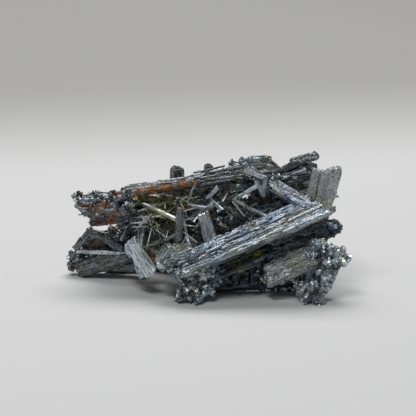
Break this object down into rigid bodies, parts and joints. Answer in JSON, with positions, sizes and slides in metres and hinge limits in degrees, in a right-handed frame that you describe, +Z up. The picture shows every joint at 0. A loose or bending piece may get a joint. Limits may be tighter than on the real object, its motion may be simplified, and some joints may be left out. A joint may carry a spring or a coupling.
{
  "type": "stibnite crystal spray",
  "caption": "Free-standing spray of long striated metallic blades and needles grown through each other, on knotty feet.",
  "frame": {"origin": "on the surface that the specimen stands on, under the middle of its box", "axes": "+X to the right along the long blades, +Y away from the side that is shown, +Z up"},
  "size_m": [0.1151, 0.047, 0.0547],
  "materials": {
    "bright_stibnite": "bright metallic, finely striated along the length",
    "rust_stained_stibnite": "dull metallic with rust-brown stain",
    "dull_grey_stibnite": "matt grey-brown weathered faces, striated along the length",
    "dark_druse": "near-black sparkling crystal crust",
    "lead_grey_stibnite": "lead-grey metallic lustre, striated along the length, with some blue tarnish"
  },
  "bodies": {
    "root": {"front_blade": "lead_grey_stibnite", "middle_foot": "dark_druse", "right_druse": "dark_druse", "lower_blade": "dull_grey_stibnite", "shadow_blade": "dark_druse", "right_shoulder": "dull_grey_stibnite", "tall_plate": "dull_grey_stibnite", "horn": "lead_grey_stibnite", "slant_plate": "lead_grey_stibnite", "top_blade": "lead_grey_stibnite", "ridge_rod": "rust_stained_stibnite", "rusty_prism": "rust_stained_stibnite", "left_foot": "dark_druse", "silver_blade": "bright_stibnite", "left_column": "lead_grey_stibnite", "centre_column": "lead_grey_stibnite", "needle_tangle": "lead_grey_stibnite", "rear_stump": "lead_grey_stibnite", "rear_left_blade": "lead_grey_stibnite", "rear_low_blade": "lead_grey_stibnite", "rear_upper_blade": "lead_grey_stibnite", "rear_cross_blade": "lead_grey_stibnite", "rear_strut": "lead_grey_stibnite"}
  },
  "joints": []
}
